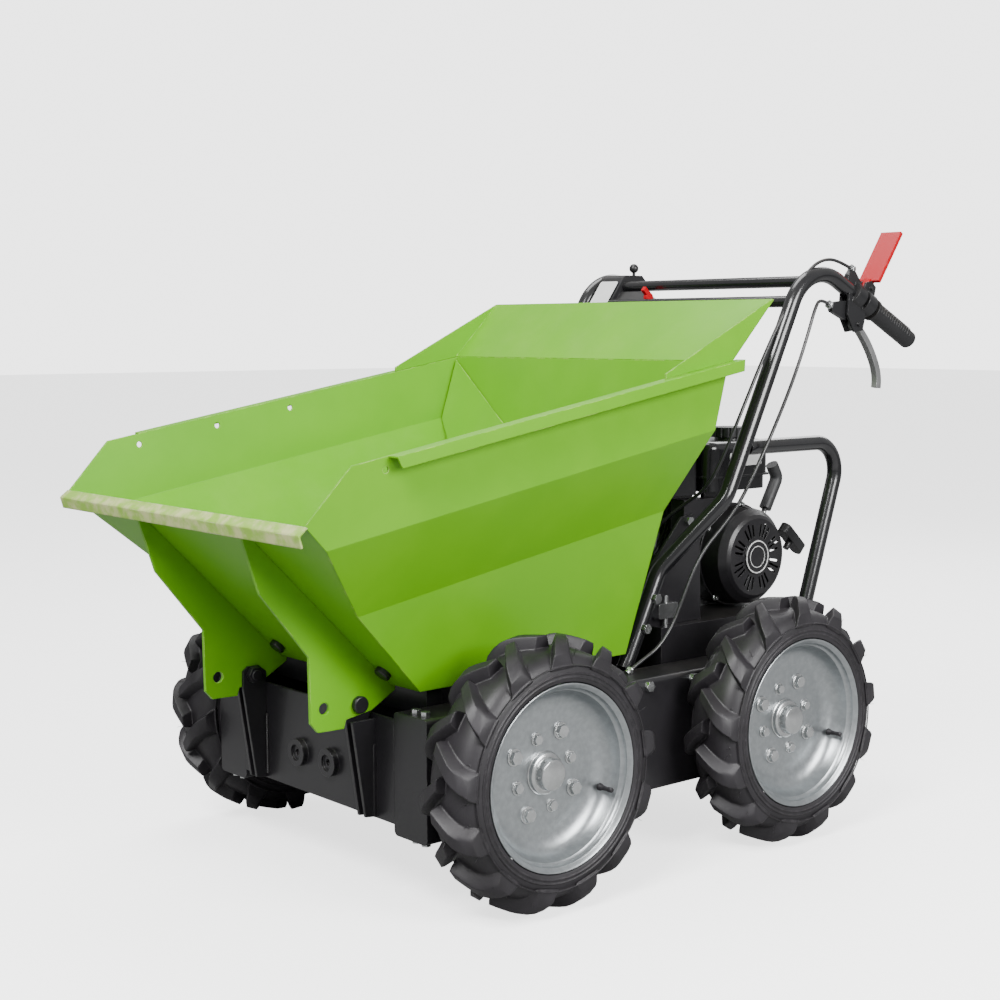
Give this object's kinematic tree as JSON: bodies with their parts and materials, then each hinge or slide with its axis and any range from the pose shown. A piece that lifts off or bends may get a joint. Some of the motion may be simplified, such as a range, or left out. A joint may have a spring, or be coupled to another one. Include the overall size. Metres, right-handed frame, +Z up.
{
  "type": "power wheelbarrow",
  "caption": "Self-propelled mini dumper: a forward-tipping steel skip with a loading chute on a box chassis with lugged wheels, a small engine and raked handlebars.",
  "frame": {"origin": "on the ground, midway between the front of the lip and the ends of the grips, on the centre plane", "axes": "+X forwards, towards the lip that the load slides over; +Y the machine's left; +Z up"},
  "size_m": [1.4105, 0.803, 1.031],
  "materials": {
    "skip_paint": "gloss powder coat, worn where loads slide",
    "lip_paint": "powder coat rubbed pale along the edge",
    "frame_black": "satin black powder coat",
    "tube_black": "gloss black powder coat",
    "bright_zinc": "bright zinc plate",
    "rim_zinc": "galvanised, finely spangled",
    "hub_steel": "zinc plated steel",
    "tyre_rubber": "matt agricultural rubber",
    "chain_steel": "oiled steel",
    "grip_rubber": "soft matt rubber",
    "moulded_black": "fine-grained moulded plastic",
    "lever_red": "glossy red",
    "lever_grey": "die cast, satin",
    "release_bright": "bright rod in a black moulded grip",
    "cast_grey": "sand-blasted casting",
    "cover_black": "satin black pressed steel",
    "tank_black": "gloss black pressed steel",
    "muffler_black": "matt heat-proof black",
    "pulley_steel": "turned grooves",
    "belt_rubber": "fabric-faced V belt",
    "cable_sheath": "extruded sheath"
  },
  "bodies": {
    "chassis": {"chassis_tub": "frame_black", "front_plate": "frame_black", "pivot_posts": "frame_black", "chain_cases": "frame_black", "engine_bed": "frame_black", "foot_gussets": "frame_black", "engine_hoops": "frame_black", "crossbars": "frame_black", "belt_guard": "frame_black", "pivot_bolts": "frame_black", "handle_tubes": "tube_black", "frame_bolts": "bright_zinc", "cable_fittings": "bright_zinc", "axle_bearings": "hub_steel", "drive_chains": "chain_steel", "grips": "grip_rubber", "lever_perches": "moulded_black", "console_box": "moulded_black", "air_cleaner": "moulded_black", "engine_block": "cast_grey", "cylinder_head": "cast_grey", "gearbox_case": "cast_grey", "fan_housing": "cover_black", "recoil_cover": "cover_black", "fuel_tank": "tank_black", "muffler": "muffler_black", "drive_belt": "belt_rubber", "clutch_cable": "cable_sheath", "brake_cable": "cable_sheath"},
    "skip": {"skip_sides": "skip_paint", "skip_front": "skip_paint", "skip_floor": "skip_paint", "skip_rear": "skip_paint", "skip_lip": "lip_paint", "rim_flanges": "skip_paint", "chute": "skip_paint", "corner_gussets": "skip_paint", "pivot_brackets": "skip_paint", "stop_bolts": "frame_black"},
    "wheel_front_left": {"tyre_front_left": "tyre_rubber", "rim_front_left": "rim_zinc", "hub_front_left": "hub_steel"},
    "wheel_front_right": {"tyre_front_right": "tyre_rubber", "rim_front_right": "rim_zinc", "hub_front_right": "hub_steel"},
    "wheel_rear_left": {"tyre_rear_left": "tyre_rubber", "rim_rear_left": "rim_zinc", "hub_rear_left": "hub_steel"},
    "wheel_rear_right": {"tyre_rear_right": "tyre_rubber", "rim_rear_right": "rim_zinc", "hub_rear_right": "hub_steel"},
    "clutch_hand_lever": {"clutch_lever": "lever_red"},
    "brake_hand_lever": {"brake_lever": "lever_grey"},
    "gear_stick": {"gear_lever": "moulded_black"},
    "stop_switch": {"engine_switch": "lever_red"},
    "tip_release": {"release_lever": "release_bright"},
    "starter_pull": {"starter_handle": "moulded_black"},
    "tank_cap": {"fuel_cap": "moulded_black"},
    "crank_pulley": {"engine_pulley": "pulley_steel"},
    "input_pulley": {"gearbox_pulley": "pulley_steel"}
  },
  "joints": [
    {"name": "skip_tip", "type": "hinge", "parent": "chassis", "child": "skip", "pos_m": [0.476, 0, 0.301], "axis": [0, 1, 0], "range_deg": [0, 70]},
    {"name": "rear_left_spin", "type": "hinge", "parent": "chassis", "child": "wheel_rear_left", "pos_m": [-0.252, 0.3505, 0.206], "axis": [0, 1, 0], "continuous": true},
    {"name": "rear_right_spin", "type": "hinge", "parent": "chassis", "child": "wheel_rear_right", "pos_m": [-0.252, -0.3505, 0.206], "axis": [0, 1, 0], "continuous": true},
    {"name": "front_left_spin", "type": "hinge", "parent": "chassis", "child": "wheel_front_left", "pos_m": [0.288, 0.3505, 0.206], "axis": [0, 1, 0], "continuous": true},
    {"name": "front_right_spin", "type": "hinge", "parent": "chassis", "child": "wheel_front_right", "pos_m": [0.288, -0.3505, 0.206], "axis": [0, 1, 0], "continuous": true},
    {"name": "clutch_squeeze", "type": "hinge", "parent": "chassis", "child": "clutch_hand_lever", "pos_m": [-0.57, 0.262, 0.928], "axis": [0, -1, 0], "range_deg": [0, 60], "stiffness_Nm_per_rad": 1.2},
    {"name": "brake_squeeze", "type": "hinge", "parent": "chassis", "child": "brake_hand_lever", "pos_m": [-0.535, 0.262, 0.864], "axis": [0, 1, 0], "range_deg": [0, 28], "stiffness_Nm_per_rad": 1.5},
    {"name": "gear_select", "type": "hinge", "parent": "chassis", "child": "gear_stick", "pos_m": [-0.441, -0.2, 0.93], "axis": [0, 1, 0], "range_deg": [-12, 12]},
    {"name": "stop_switch_turn", "type": "hinge", "parent": "chassis", "child": "stop_switch", "pos_m": [-0.3885, -0.1075, 0.9155], "axis": [0, 1, 0], "range_deg": [0, 35]},
    {"name": "release_pull", "type": "hinge", "parent": "chassis", "child": "tip_release", "pos_m": [-0.486, 0.03, 0.338], "axis": [0, -1, 0], "range_deg": [0, 20]},
    {"name": "starter_draw", "type": "slide", "parent": "chassis", "child": "starter_pull", "axis": [-0.6816, 0, 0.7317], "range_m": [0, 0.4], "stiffness_N_per_m": 12, "springref_m": -0.05},
    {"name": "fuel_cap_turn", "type": "hinge", "parent": "chassis", "child": "tank_cap", "pos_m": [-0.412, 0.078, 0.66], "axis": [0, 0, 1], "range_deg": [0, 90]},
    {"name": "crank_spin", "type": "hinge", "parent": "chassis", "child": "crank_pulley", "pos_m": [-0.3775, -0.15, 0.45], "axis": [0, 1, 0], "continuous": true},
    {"name": "gear_input_spin", "type": "hinge", "parent": "chassis", "child": "input_pulley", "pos_m": [-0.19, -0.15, 0.266], "axis": [0, 1, 0], "continuous": true}
  ],
  "couplings": [
    {"joint": "front_left_spin", "follows": "rear_left_spin", "ratio": 1},
    {"joint": "front_right_spin", "follows": "rear_right_spin", "ratio": 1},
    {"joint": "gear_input_spin", "follows": "crank_spin", "ratio": 0.7308}
  ]
}
